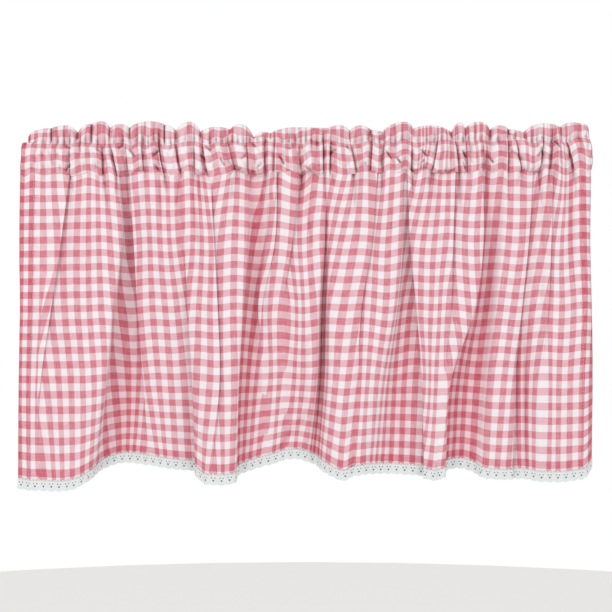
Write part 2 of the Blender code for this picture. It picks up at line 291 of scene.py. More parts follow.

# %% [markdown]
# ## The skirt's folds
# Gathered cloth hangs in folds that are all different, so each is a row in a table: where it stands along
# X, how far it comes forward and which check of the cloth lies there, at five heights from the seam to the
# hem, and last how low the lace hangs. A pleat has a lip, which shows, and an under-fold behind it, which
# hides some of the cloth. A cloth simulation would settle into folds of its own choosing, so the folds are
# listed, and smooth curves through the rows give the surface between them.

# %% Fold table
HALF_WIDTH = 355.0
UPPER_SEAM = 1.7
UPPER_RISE = 2.0
LOWER_SEAM = -38.2
LOWER_RISE = 2.4
SEAM_WAVER = 2.7
CHECK_WAVER = 0.21
DRAPE_WAVER = 0.1
HEM = -401.0
LACE_BELOW = 12.0
DROPS = (0.0, 81.0, 166.0, 251.0, 362.0)

Fold = namedtuple("Fold", "name x forward cloth lace_bottom")
FOLDS = [Fold(*row) for row in (
    ("left edge", (-352, -354.5, -354, -355, -355.5), (0, 0, 2, 4, 6),
     (-0.17, -0.24, -0.09, -0.1, -0.25), -427),
    ("left side hem", (-334, -336, -337, -340, -341), (1, 3, 6, 9, 12),
     (1.2, 1.26, 1.26, 1.17, 0.99), -428.5),
    ("first crease lip", (-291.3, -302.1, -315, -326.1, -331), (3, 8, 12, 14, 15),
     (4.15, 3.34, 2.74, 2.29, 1.73), -428.5),
    ("first crease under", (-300, -310.7, -323.6, -329.8, -329.6), (1.5, 6.3, 10.4, 13.4, 15),
     (4.34, 3.97, 3.2, 2.43, 1.73), -428.5),
    ("flat beside it", (-276, -277, -280, -290, -294), (0, 4, 10, 14, 19),
     (6.21, 6.36, 6.09, 4.93, 4.37), -428.5),
    ("first fold crown", (-246, -243, -248, -260, -276), (3, 10, 15, 19, 21),
     (8.97, 8.89, 8.22, 6.97, 5.81), -423),
    ("first fold edge", (-232, -228, -237, -246, -263), (3, 8, 14, 16, 14),
     (10.15, 9.95, 8.9, 8.13, 7.14), -415),
    ("first fold wall", (-230, -226, -236, -244, -254), (-3, -5, -6, -7, -9),
     (11.7, 11.6, 10.6, 9.7, 8.58), -406),
    ("first recess", (-222, -218, -221, -224, -234), (-5, -10, -14, -18, -22),
     (12.25, 12.1, 11.4, 10.9, 10.02), -399.5),
    ("recess crease under", (-198.5, -194.8, -193.6, -196, -198.7), (-4, -6, -10, -14, -20),
     (12.8, 12.6, 12.7, 13.11, 13.28), -401),
    ("recess crease lip", (-215.8, -212.1, -208.4, -203.4, -197.3), (0, -2, -6, -11, -19),
     (13.55, 13.39, 13.66, 13.6, 13.27), -401),
    ("shallow rise", (-178, -177, -176, -173, -170), (3, 2, -2, -7, -13),
     (16.32, 16.27, 15.91, 15.72, 15.48), -405),
    ("box fold foot under", (-154.4, -149.2, -138.1, -128.8, -122.1), (1.5, 0, -4, -5, -8),
     (18.13, 18.28, 18.57, 18.7, 18.87), -410),
    ("box fold foot lip", (-152.9, -150.4, -146.7, -141.2, -136.9), (2, 1, 1, 2, 2),
     (18.14, 18.27, 19.02, 19.56, 19.89), -410),
    ("box fold left", (-143, -141, -138, -133, -128), (3, 4, 6, 10, 13),
     (18.75, 18.9, 19.6, 20.1, 20.74), -418),
    ("box fold ridge lip", (-116.5, -114.7, -109.7, -106.6, -115.9), (4, 9, 14, 19, 20),
     (21.72, 21.44, 21.77, 21.85, 21.89), -421),
    ("box fold ridge under", (-115, -122.1, -117.1, -112.8, -114.4), (4, 6, 10.5, 16, 20),
     (21.58, 21.83, 22.19, 22.32, 21.87), -421),
    ("box fold right", (-84, -86, -90, -93, -97), (4, 9, 14, 18, 19),
     (23.99, 24.1, 23.94, 23.68, 23.53), -421),
    ("second edge", (-71, -72, -78, -83, -87), (3, 7, 11, 14, 15),
     (25.04, 25.02, 24.76, 24.33, 24.34), -419),
    ("second wall", (-69, -70.5, -77, -82, -84), (-3, -4, -5, -7, -6),
     (25.18, 25.67, 25.87, 25.95, 26.11), -412),
    ("second recess", (-59, -60, -63, -66, -71), (-3, -8, -12, -13, -11),
     (25.31, 26.32, 26.97, 27.57, 27.87), -407.5),
    ("fine ridge one lip", (-36.4, -39.5, -55.5, -54.2, -49.3), (3, 1, -5, -9, -15),
     (27.94, 27.53, 27.54, 28.51, 29.54), -401),
    ("fine ridge one under", (-43.8, -48.1, -59.2, -52.8, -47.8), (0, -2, -6.5, -9, -15),
     (28.37, 28.15, 27.73, 28.48, 29.48), -401),
    ("fine ridge two lip", (-11.1, -18.5, -27.1, -27.1, -24.7), (2, 3, -1, -9, -22),
     (30.32, 30.07, 29.98, 30.28, 31.31), -394.5),
    ("fine ridge two under", (-19.7, -27.1, -25.6, -25.6, -23.2), (-1, 0, -1, -9, -22),
     (30.71, 30.28, 29.97, 30.29, 31.18), -394.5),
    ("fine ridge three", (3, 5, 3, -3, -7), (0, 4, 5, -4, -23),
     (32.44, 33.04, 32.62, 32.09, 32.67), -394.5),
    ("slit edge", (22.2, 21, 15.4, 12.3, 1.2), (3, 6, 8, 3, -20),
     (33.73, 34.06, 33.39, 33.1, 33.25), -397),
    ("slit bottom", (24, 24, 21, 18.5, 12.3), (1, -3, -9, -13, -23),
     (34.15, 35, 35.28, 35.21, 35.43), -401),
    ("slit far side", (30, 30, 29, 28, 22), (2, 4, 8, 8, -3),
     (34.56, 35.93, 37.18, 37.32, 37.61), -407),
    ("middle flat", (48, 46, 44, 43, 42), (3, 8, 12, 13, 11),
     (35.99, 37.17, 37.9, 38.41, 39.03), -416.5),
    ("middle valley lip", (86.3, 80.1, 67.8, 64.1, 57.9), (1, 5, 8, 9, 8),
     (39.33, 39.26, 39.34, 39.8, 40.17), -412),
    ("middle valley under", (80.1, 72.7, 64.1, 65.6, 59.4), (-2, 2, 6, 9, 8),
     (38.92, 39.64, 39.61, 39.94, 40.19), -412),
    ("third crown", (104, 103, 95, 82, 67), (4, 9, 12, 12, 9),
     (41.85, 42.11, 41.82, 41.55, 40.82), -411),
    ("third edge", (117.1, 116.5, 108.5, 92, 74), (3, 6, 9, 8, 6),
     (42.8, 42.95, 42.75, 42.36, 41.28), -410),
    ("third recess", (120.8, 121.4, 118.4, 108.5, 96.2), (1, -2, -5, -6, -4),
     (43.05, 43.9, 45.04, 44.8, 44.18), -410),
    ("far pleat under", (145.5, 146.7, 151.2, 154.1, 161.5), (-2, -4, -4, -3, 0),
     (44.73, 46.59, 47.55, 48.1, 49.19), -414.5),
    ("far pleat lip", (124.5, 128.2, 136.4, 143, 145.5), (3, 2, 2, 3, 6),
     (46.09, 47.76, 48.53, 48.6, 50.49), -414.5),
    ("right box left", (150, 152, 157, 160, 160), (4, 8, 10, 11, 13),
     (48.41, 49.53, 50.24, 51, 51.57), -417),
    ("right box crease lip", (183.5, 180.6, 178.2, 170.1, 161.5), (3, 9, 12, 13, 13),
     (51.75, 51.71, 52.29, 51.72, 51.68), -415.5),
    ("right box crease under", (174.8, 172, 173.2, 171.6, 163), (0, 6, 10, 13, 13),
     (52.15, 52.23, 52.44, 51.72, 51.68), -415.5),
    ("fourth edge", (215.8, 218.2, 208.4, 179.4, 172), (4, 8, 10, 11, 9),
     (55.11, 55.59, 54.63, 52.38, 52.46), -412),
    ("fourth wall", (216.4, 217, 208.4, 181.2, 173.8), (-5, -6, -8, -9, -9),
     (56.2, 56.66, 56.2, 54.77, 54.76), -407),
    ("fourth recess", (228, 229, 221, 202, 194), (-4, -8, -11, -13, -13),
     (57.29, 57.74, 57.78, 57.16, 57.06), -404.5),
    ("step foot", (241, 236, 229, 219, 210), (-1, -4, -8, -9, -8),
     (58.02, 58.19, 58.31, 58.31, 58.19), -409),
    ("step edge", (247, 242, 235, 227, 219), (3, 4, 5, 4, 3),
     (58.61, 58.53, 58.7, 58.92, 58.82), -414),
    ("right flat", (261, 257, 250, 244, 240), (3, 6, 8, 9, 9),
     (59.6, 59.44, 59.66, 59.95, 60.33), -416),
    ("close pleat lip", (279.9, 275.6, 266.9, 258.9, 255.2), (2, 3, 4, 4, 5),
     (60.73, 60.62, 60.74, 61.15, 61.44), -416),
    ("close pleat under", (268.8, 263.2, 254.6, 251.5, 250.3), (-2, -1, 0, 0, 1),
     (61.53, 61.75, 61.92, 61.86, 61.72), -416),
    ("second close pleat", (284.8, 279.9, 271.2, 268.8, 269.4), (0, 1, 1, -1, 1),
     (62.72, 63.16, 63.4, 63.46, 63.51), -416),
    ("right crown lip", (301.4, 300.2, 298.4, 289.7, 288.5), (3, 7, 10, 11, 10),
     (64.07, 64.52, 65.21, 65.34, 65.55), -418.5),
    ("right crown under", (295.3, 294, 294.7, 291.2, 290), (0, 4, 8, 11, 10),
     (63.92, 64.8, 65.46, 65.17, 65.54), -418.5),
    ("right rise", (308, 308, 308, 309, 312), (2, 6, 10, 12, 11),
     (64.96, 66.24, 66.49, 66.83, 67.18), -418.5),
    ("soft valley", (325, 329, 331, 332, 332), (0, 4, 8, 10, 9),
     (67.92, 68.25, 68.08, 68.44, 68.53), -416.5),
    ("right side hem", (341, 342, 344, 345, 345), (3, 6, 8, 8, 5),
     (69.08, 69.01, 68.99, 69.33, 69.46), -414),
    ("right edge", (351, 351.5, 354, 355.5, 355), (0, 0, 0, -2, -5),
     (69.78, 69.56, 69.7, 70.33, 70.26), -402),
)]
fold_x = np.array([fold.x for fold in FOLDS])
fold_forward = np.array([fold.forward for fold in FOLDS], float)
fold_cloth = np.maximum.accumulate(np.array([fold.cloth for fold in FOLDS]), axis=0)
print("fold lines:", len(FOLDS))

# %% [markdown]
# ## From the table to a surface
# `smooth` draws an even curve through values at uneven places. Read once along the cloth and once down
# it, it turns the table into a surface. The check's own numbers may only grow along the cloth, so their
# curve gets slopes that never overshoot.

# %% Curves
def smooth(knots, values, at, steady=False):
    """A smooth curve through rows of values at their knots, read at each place in at."""
    knots = np.asarray(knots, float)
    values = np.asarray(values, float)
    shape = (-1,) + (1,) * (values.ndim - 1)
    step = np.diff(knots).reshape(shape)
    slope = np.diff(values, axis=0) / step
    before, after = slope[:-1], slope[1:]
    inner = (before * step[1:] + after * step[:-1]) / (step[:-1] + step[1:])
    if steady:
        product = before * after
        inner = np.where(product > 0, 2 * product / np.where(product > 0, before + after, 1.0), 0.0)
    tangent = np.concatenate([slope[:1], inner, slope[-1:]])
    i = np.clip(np.searchsorted(knots, at, side="right") - 1, 0, len(knots) - 2)
    u = ((at - knots[i]) / np.diff(knots)[i]).reshape(shape)
    leave = tangent[i] * step[i] * u * (1 - u) ** 2
    arrive = tangent[i + 1] * step[i] * u * u * (u - 1)
    return values[i] + (values[i + 1] - values[i]) * u * u * (3 - 2 * u) + leave + arrive


def running(steps):
    """Places along a line, from the lengths of its steps."""
    return np.concatenate([[0.0], np.cumsum(steps)])


def table_places(x, forward):
    """Places of a table's rows along the cloth, by their mean distance over all heights."""
    return running(np.hypot(np.diff(x, axis=0), np.diff(forward, axis=0)).mean(axis=1))


# %% [markdown]
# Gathering pulls the seams and the rows of the check up and down a little, unevenly from tuck to tuck. The
# left end of this valance lies flat, so the upper seam and the check don't waver there.

# %% Seams that waver
FLAT_END = -300.0
FLAT_BLEND = 30.0
SEAM_PULL_REACH = 26.0
DRAPE_END = -326.0
DRAPE_BLEND = 60.0


def ripple(x, length, swing, slow, phase=0.0):
    """A wave along X whose spacing wanders, so that no two gathers are alike."""
    return np.sin(x / length + swing * np.sin(x / slow + phase))


def gathering(x):
    """0 on the flat stretch at the left end, and 1 where the cloth is gathered."""
    return np.clip((x - FLAT_END) / FLAT_BLEND, 0, 1)


def upper_seam(x):
    waver = ripple(x, 4.9, 2.2, 16.0) * (0.7 + 0.3 * np.sin(x / 37.0))
    return UPPER_SEAM + UPPER_RISE * x / HALF_WIDTH + SEAM_WAVER * gathering(x) * waver


def lower_level(x):
    return LOWER_SEAM + LOWER_RISE * x / HALF_WIDTH


def lower_seam(x):
    return lower_level(x) + SEAM_WAVER * ripple(x, 5.3, 2.0, 19.0) * np.sin(x / 31.0 + 0.6)


def check_waver(x, z):
    """How far the gathers pull the checks up or down, most of all near the lower seam, in repeats."""
    pull = ripple(x, 15.0, 1.7, 47.0) + 0.7 * ripple(x, 7.7, 1.1, 23.0)
    drape = ripple(x, 23.0, 1.4, 61.0, z / 170.0) + 0.7 * np.sin(x / 8.5 + z / 210.0)
    near_seam = CHECK_WAVER * pull * np.exp(-np.abs(z - LOWER_SEAM) / SEAM_PULL_REACH)
    return gathering(x) * (near_seam + DRAPE_WAVER * drape * np.clip((z - DRAPE_END) / DRAPE_BLEND, 0, 1))


# %% [markdown]
# A point of the skirt is read from the table by its place along the cloth and its share of the drop. The
# hem's unevenness starts low on the skirt, and the checks follow it, as they do in a cloth that is cut
# straight. The lower seam's waver fades within a short way of the seam.

# %% The skirt's surface
fold_places = table_places(fold_x, fold_forward)
levels = np.array(DROPS) / DROPS[-1]
WAVE_START = 0.6
WAVE_POWER = 1.5
SEAM_FADE = 0.05
TOP_BAND = 0.29
LAST_BAND = 21.5


def wave(down):
    return np.clip((down - WAVE_START) / (1 - WAVE_START), 0, 1) ** WAVE_POWER


def check_numbers(along):
    """The check's number at each height of the table, spread evenly over the cloth between the fold lines."""
    numbers = []
    for x, forward, cloth in zip(fold_x.T, fold_forward.T, fold_cloth.T):
        length = running(np.hypot(*(np.diff(smooth(fold_places, values, along)) for values in (x, forward))))
        numbers.append(smooth(np.interp(fold_places, along, length), cloth, length, steady=True))
    return np.array(numbers)


def skirt_surface(along, down):
    """Points, and the cloth's own coordinates, at places along the cloth and shares of its drop."""
    x = smooth(levels, smooth(fold_places, fold_x, along).T, down)
    forward = smooth(levels, smooth(fold_places, fold_forward, along).T, down)
    u = smooth(levels, check_numbers(along), down)
    hem = smooth(fold_places, [fold.lace_bottom for fold in FOLDS], along) + LACE_BELOW
    top = lower_level(x[0])
    share = down[:, None]
    z = top + (HEM - top) * share + (hem - HEM) * wave(share)
    z += (lower_seam(x[0]) - top) * np.exp(-share / SEAM_FADE)
    v = TOP_BAND + (LAST_BAND - TOP_BAND) * share + check_waver(x, z)
    return np.stack([x, -forward, z], axis=2), np.stack([u, v], axis=2)


# %% [markdown]
# ## The gathers along the rod
# Pushed together on its rod, the tube of the heading swells into puffs between deep tucks. Each tuck is a
# row in a table: where it meets the two seams, and how deep it is at the top, in the middle and at the
# bottom. At a tuck the cloth makes a lip, turns under itself and comes back up at a shoulder. This one
# profile serves the heading and, as relief, the top of the skirt, because they are the same cloth.

# %% Tucks
Tuck = namedtuple("Tuck", "upper lower top middle bottom")
TUCKS = [Tuck(*row) for row in (
    (-350, -352, 0.3, 0.4, 0.4), (-291, -290, 0.5, 0.9, 1.0), (-252, -250, 0.3, 0.8, 1.0),
    (-241, -232, 0.3, 0.9, 1.0), (-222, -219, 0.3, 0.7, 0.9), (-203, -200, 0.8, 0.6, 0.2),
    (-183, -175, 1.0, 1.0, 0.9), (-162, -155, 1.0, 0.9, 1.0), (-138, -136, 0.3, 0.9, 1.0),
    (-128, -121, 0.3, 0.9, 0.8), (-97, -87, 0.2, 0.6, 1.0), (-73, -70, 1.0, 0.6, 0.5),
    (-52, -51, 0.8, 1.0, 1.0), (-38, -39, 0.3, 0.5, 0.9), (-9, -4, 0.3, 0.7, 0.9),
    (21, 21, 0.9, 1.0, 1.0), (30, 29, 0.4, 1.0, 1.0), (55, 62, 0.3, 0.8, 1.0),
    (82, 80, 0.9, 0.4, 0.3), (96, 95, 0.3, 0.8, 0.6), (130, 129, 0.3, 0.8, 1.0),
    (163, 155, 0.9, 0.6, 0.9), (184, 188, 0.4, 0.9, 0.8), (197, 199, 0.3, 0.6, 0.9),
    (222, 224, 0.4, 0.3, 0.4), (249, 248, 0.4, 1.0, 1.0), (258, 265, 0.3, 0.9, 0.9),
    (293, 287, 1.0, 0.9, 0.6), (304, 301, 1.0, 1.0, 1.0), (322, 330, 0.5, 1.0, 1.0),
    (350, 351, 0.3, 0.4, 0.5),
)]
print("tucks:", len(TUCKS))

# %% [markdown]
# Between two tucks the cloth stands forward as a puff, and in a few places it arches over a hollow at the
# lower seam. Both are given at five stations of the pocket's height, from the lower seam to the upper one.
# A tuck laps to the right or to the left, as the cloth happened to fall.

# %% Profile of the heading
ARCHED = ((-138, -117), (-84, -54), (-2, 9), (168, 183), (262, 284))
STATIONS = (0.0, 0.16, 0.5, 0.84, 1.0)
FACE = (9.8, 10.8, 12.2, 10.8, 4.6)
ARCHED_FACE = (3.0, 12.0, 12.8, 10.6, 4.6)
PUFF = (0.6, 0.9, 1.0, 0.9, 0.5)
GULLY = (4.6, 6.2, 6.8, 6.4, 4.4)
REACH = 4.2
SHOULDER = 3.0
PUFF_PER_WIDTH = 0.13
LEAST_PUFF = 0.8
MOST_PUFF = 4.4
WIDE_PANEL = 22.0
END_FACE = 0.92
LAPS = (1, -1, 1, -1, -1, 1, 1, 1, -1, -1)


def panel_face(left, right):
    """How far the cloth between two tucks stands forward at each station."""
    middle = 0.5 * (left.lower + right.lower)
    arched = any(low < middle < high for low, high in ARCHED)
    return np.array(ARCHED_FACE if arched else FACE)


def tuck_line(tuck):
    """X of a tuck at the stations."""
    return tuck.lower + (tuck.upper - tuck.lower) * np.array(STATIONS)


def tuck_knots(tuck, lap, room, face):
    """Lip, under-fold, rise and shoulder of one tuck, as rows of x and forward at the stations."""
    x = tuck_line(tuck)
    depth = np.interp(STATIONS, (0.0, 0.5, 1.0), (tuck.bottom, tuck.middle, tuck.top))
    gully = np.array(GULLY) * depth
    reach = np.minimum(REACH, 0.36 * room) * depth - 0.8 * (1 - depth)
    rows = [
        (x - 0.3 * lap, face + 0.4),
        (x - reach * lap, face - gully),
        (x + (1.6 - 0.7 * depth) * lap, face - 0.6 * gully),
        (x + min(SHOULDER, 0.3 * room) * lap, face - 0.08 * gully),
    ]
    return rows if lap > 0 else rows[::-1]


def heading_knots():
    """The profile along the rod, from the left end to the right one, and which of its rows lie on a face."""
    made, on_face = [], []
    for i, tuck in enumerate(TUCKS):
        last = i == len(TUCKS) - 1
        before = panel_face(TUCKS[i - 1], tuck) if i else panel_face(tuck, TUCKS[1])
        after = before if last else panel_face(tuck, TUCKS[i + 1])
        if i == 0 or last:
            made.append((tuck_line(tuck), before * END_FACE))
            on_face.append(True)
        else:
            room = min(abs(tuck.lower - TUCKS[k].lower) for k in (i - 1, i + 1))
            made.extend(tuck_knots(tuck, LAPS[i % len(LAPS)], room, 0.5 * (before + after)))
            on_face.extend([False] * 4)
        if not last:
            x = tuck_line(tuck)
            width = tuck_line(TUCKS[i + 1]) - x
            puff = min(MOST_PUFF, LEAST_PUFF + PUFF_PER_WIDTH * float(width.mean())) if i else LEAST_PUFF
            phases = (0.3, 0.7) if width.mean() > WIDE_PANEL else (0.5,)
            made.extend((x + width * phase, after + np.array(PUFF) * puff) for phase in phases)
            on_face.extend([True] * len(phases))
    return np.array(made), np.array(on_face)


HEADING_STEP = 1.1
knots, on_face = heading_knots()
knot_x, knot_forward = knots[:, 0], knots[:, 1]
knot_places = table_places(knot_x, knot_forward)
rod_places = np.linspace(0.0, knot_places[-1], int(knot_places[-1] / HEADING_STEP))
print("along the pocket's face: %.0f mm of cloth over %d tucks" % (knot_places[-1], len(TUCKS)))


def rod_profile(share):
    """X and forward along the rod at a share of the pocket's height."""
    at = np.array([share])
    return [smooth(STATIONS, smooth(knot_places, knot, rod_places).T, at)[0] for knot in (knot_x, knot_forward)]


# %% [markdown]
# The tucks don't end at the lower seam: the skirt takes their relief over. The relief is the foremost cloth
# at each place along the seam. Its fine part is the tucks, and what stays when it is levelled is fullness.

# %% Relief along the lower seam
SEAM_STEP = 1.2
SEAM_REACH = 11


def level(values, reach):
    """Values smoothed along their last axis over reach places to both sides."""
    window = np.hanning(2 * reach + 3)[1:-1]
    rows = np.atleast_2d(values)
    padded = np.pad(rows, ((0, 0), (reach, reach)), mode="edge")
    made = np.array([np.convolve(row, window / window.sum(), "valid") for row in padded])
    return made.reshape(np.shape(values))


row_x, row_forward = rod_profile(0.0)
seam_x = np.arange(row_x.min(), row_x.max(), SEAM_STEP)
seam_relief = np.full(seam_x.shape, -np.inf)
nearest = np.clip(np.round((row_x - seam_x[0]) / SEAM_STEP).astype(int), 0, len(seam_x) - 1)
np.maximum.at(seam_relief, nearest, row_forward)
found = np.isfinite(seam_relief)
seam_relief = np.interp(seam_x, seam_x[found], seam_relief[found])
seam_level = level(seam_relief, SEAM_REACH)
print("relief along the lower seam: %.1f to %.1f mm" % (seam_relief.min(), seam_relief.max()))

# %% [markdown]
# ## Small creases
# Between the big folds the cloth is never flat. Each deep tuck of the heading pulls a short pucker into
# the top of the skirt, and a few creases cross the folds. Both are soft troughs pressed into the surface
# along a line: a depth, a width, and ends that fade.

# %% Creases and puckers
Crease = namedtuple("Crease", "name x0 z0 x1 z1 depth width")
CREASES = (
    Crease("below the slit", 13, -317, -38, -385, 2.6, 3.2),
    Crease("second below the slit", 6, -330, -20, -372, 1.6, 2.4),
    Crease("left vee", -180, -44, -179, -95, 2.2, 3.0),
    Crease("left vee return", -180, -92, -154, -100, 1.6, 2.6),
    Crease("left tuck", -256, -44, -246, -52, 2.2, 2.2),
    Crease("box fold crease", -142, -44, -131, -140, 1.6, 3.0),
    Crease("middle left crease", 2, -86, 9, -136, 1.5, 2.6),
    Crease("middle right crease", 105, -56, 105, -122, 1.8, 3.0),
    Crease("first hem slant", -258, -352, -243, -392, 0.9, 2.2),
    Crease("second hem slant", -251, -348, -238, -386, 0.9, 2.2),
    Crease("right pleat one", 262, -250, 260, -402, 2.2, 2.0),
    Crease("right pleat two", 271, -240, 272, -402, 2.2, 2.0),
    Crease("right fall", 293, -60, 291, -250, 1.2, 3.4),
    Crease("far right dip", 325, -46, 330, -165, 1.4, 4.0),
)
PUCKER_LENGTHS = (34.0, 22.0, 44.0, 27.0, 38.0)
PUCKER_LEANS = (-5.0, 3.0, 7.0, -2.0, 1.0, -6.0, 4.0)
PUCKER_FROM = 0.6
PUCKER_DEPTH = 1.9
PUCKER_WIDTH = 1.5
PUCKER_ABOVE = 5
CRINKLE = 0.8
CRINKLE_SIZE = 9.0
CRINKLE_FADE = 8.0


def trough(points, crease):
    """How far each point is pressed back by a crease seen from the front."""
    start = np.array([crease.x0, crease.z0], float)
    run = np.array([crease.x1, crease.z1], float) - start
    off = points[..., (0, 2)] - start
    share = off @ run / (run @ run)
    across = np.abs(off[..., 0] * run[1] - off[..., 1] * run[0]) / np.linalg.norm(run)
    fade = np.clip(1.15 * (1 - np.abs(2 * share - 1) ** 3), 0, 1)
    return crease.depth * fade * np.exp(-(across / crease.width) ** 2)


def puckers():
    """A short crease below each deep tuck of the heading."""
    made = []
    for i, tuck in enumerate(TUCKS):
        if tuck.bottom >= PUCKER_FROM:
            foot = tuck.lower + PUCKER_LEANS[i % len(PUCKER_LEANS)]
            seam = lower_seam(tuck.lower)
            end = seam - PUCKER_LENGTHS[i % len(PUCKER_LENGTHS)]
            made.append(Crease("pucker", tuck.lower, seam + PUCKER_ABOVE, foot, end, PUCKER_DEPTH, PUCKER_WIDTH))
    return made


# How far down the skirt the heading's fullness and its tucks can be seen
FULLNESS_FADE = 75.0
TUCK_FADE = 15.0


def gathered(points):
    """The skirt's surface with the heading's fullness and tucks carried on into its top."""
    made = points.copy()
    x = points[..., 0]
    below = lower_seam(x) - points[..., 2]
    fullness = np.interp(x, seam_x, seam_level)
    tucks = np.interp(x, seam_x, seam_relief) - fullness
    made[..., 1] -= fullness * np.exp(-(below / FULLNESS_FADE) ** 1.6) + tucks * np.exp(-below / TUCK_FADE)
    return made


def crinkled(points, scale, height):
    """Slow uneven waves over a grid of points, in the direction of the room."""
    flat = points.reshape(-1, 3)
    amounts = [noise.noise(Vector((p[0] / scale, 3.0, p[2] / (2.2 * scale)))) for p in flat]
    return height * np.array(amounts).reshape(points.shape[:2])


def creased(points, creases):
    """The surface pressed along every crease, with a light crinkle."""
    made = points.copy()
    for crease in creases:
        made[..., 1] += trough(points, crease)
    below = np.maximum(0.0, lower_seam(points[..., 0]) - points[..., 2])
    made[..., 1] -= crinkled(points, CRINKLE_SIZE, CRINKLE) * (1 - np.exp(-below / CRINKLE_FADE))
    return made


print("creases:", len(CREASES), "and puckers:", len(puckers()))

# %% [markdown]
# ## Sheets with turned hems
# A sewn edge is the same cloth folded back on itself. The grid of points is therefore carried round its
# edges: the columns next to each side are repeated behind the cloth, in reverse, and so are the rows next
# to the hem. The check's coordinates run on round the fold, and a mask marks where the cloth is doubled.

# %% Build a sheet
COLUMN_STEP = 1.5
ROW_STEP = 3.6
FINE_TOP = 40.0
FINE_STEP = 1.7
TUCKED_UP = 2.6
TUCKED_BEHIND = 1.3
SIDE_HEM = 18.0
BOTTOM_HEM = 15.0
HEM_GAP = 0.7
# Gap and tint of the bottom hem, against 1 for the side hems
BOTTOM_GAP = 1.4
BOTTOM_TINT = 0.55
# Reach and depth of the close and far hollows, whose masks paint shade into the gingham
CLOSE_REACH = 4
CLOSE_DEPTH = 3.0
FAR_REACH = 24
FAR_DEPTH = 5.0


def unit(vectors):
    return vectors / np.maximum(np.linalg.norm(vectors, axis=-1, keepdims=True), 1e-9)


def normals_of(points):
    """Unit normals of a grid of points, across times down, which is the room's side."""
    return unit(np.cross(np.gradient(points, axis=0), np.gradient(points, axis=1)))


def turned(points, cloth, side, bottom):
    """A grid carried on behind itself by side columns at both ends and by bottom rows below."""
    normal = normals_of(points)
    rows, columns = points.shape[:2]
    column_at = np.array([*range(side, 0, -1), *range(columns), *range(columns - 2, columns - 2 - side, -1)])
    row_at = np.array([*range(rows), *range(rows - 2, rows - 2 - bottom, -1)])
    column = np.arange(len(column_at))
    behind_column = (column < side) | (column >= side + columns)
    behind_row = np.arange(len(row_at)) >= rows
    grid = np.ix_(row_at, column_at)
    back = behind_column[None, :] * 1.0 + behind_row[:, None] * BOTTOM_GAP
    made = points[grid] - normal[grid] * (back * HEM_GAP)[..., None]
    uv = cloth[grid].copy()
    uv[:, :side, 0] = 2 * cloth[row_at, :1, 0] - uv[:, :side, 0]
    uv[:, side + columns:, 0] = 2 * cloth[row_at, -1:, 0] - uv[:, side + columns:, 0]
    uv[rows:, :, 1] = 2 * cloth[rows - 1, 0, 1] - uv[rows:, :, 1]
    near_side = (np.minimum(column_at, columns - 1 - column_at) <= side) & (side > 0)
    near_hem = (rows - 1 - row_at <= bottom) & (bottom > 0)
    doubled = np.maximum(near_side[None, :] * 1.0, near_hem[:, None] * BOTTOM_TINT)
    return made, uv, doubled


def hollows(points):
    """How far each point lies behind its neighbours along the row, from 0 to 1, close by and farther off."""
    facing = np.sign(-normals_of(points)[..., 1].mean(axis=1, keepdims=True))
    forward = -points[..., 1] * facing
    close = (level(forward, CLOSE_REACH) - forward) / CLOSE_DEPTH
    far = (level(forward, FAR_REACH) - forward) / FAR_DEPTH
    return np.clip(close, 0, 1), np.clip(far, 0, 1)


def add_mesh(name, points, faces, look, cloth=None, **masks):
    """A smooth mesh given in millimetres, with the cloth's coordinates and masks, one value a point."""
    mesh = bpy.data.meshes.new(name)
    mesh.from_pydata((points * MM).tolist(), [], faces.tolist())
    if cloth is not None:
        layer = mesh.uv_layers.new(name="cloth")
        layer.data.foreach_set("uv", cloth[faces.ravel()].astype(np.float32).ravel())
    for mask_name, values in masks.items():
        mask = mesh.attributes.new(mask_name, "FLOAT", "POINT")
        mask.data.foreach_set("value", values.astype(np.float32).ravel())
    mesh.materials.append(look)
    mesh.shade_smooth()
    return add_object(name, mesh)


def add_sheet(name, points, cloth, doubled, look, crevice_shade_strength):
    """A sheet over a grid of points, with masks of its hems and hollows; the last argument scales the painted
    shade in the close ones.
    """
    rows, columns = points.shape[:2]
    corner = (np.arange(rows - 1)[:, None] * columns + np.arange(columns - 1)[None, :]).ravel()
    faces = np.stack([corner, corner + columns, corner + columns + 1, corner + 1], axis=1)
    close, far = hollows(points)
    return add_mesh(name, points.reshape(-1, 3), faces, look, cloth.reshape(-1, 2),
                    doubled=doubled, crevice=close * crevice_shade_strength, recess=far)


# %% [markdown]
# ## The skirt
# The skirt is read off the fold surface in fine steps, creased, and given its side hems and its hem. Its
# grid of points is kept, because the lace and the stitches sit on the same surface.

# %% Skirt
# How much painted shade the skirt's close crevices get, against 1 for the heading
SKIRT_CREVICE_SHADE = 0.5
MIDDLE_ROW = 50
along = np.linspace(0.0, fold_places[-1], int(fold_places[-1] / COLUMN_STEP))
fine, coarse = np.arange(0.0, FINE_TOP, FINE_STEP), np.arange(FINE_TOP, DROPS[-1], ROW_STEP)
down = np.concatenate([fine, coarse, DROPS[-1:]]) / DROPS[-1]
skirt_points, skirt_cloth_uv = skirt_surface(along, down)
skirt_points = creased(gathered(skirt_points), CREASES + tuple(puckers()))

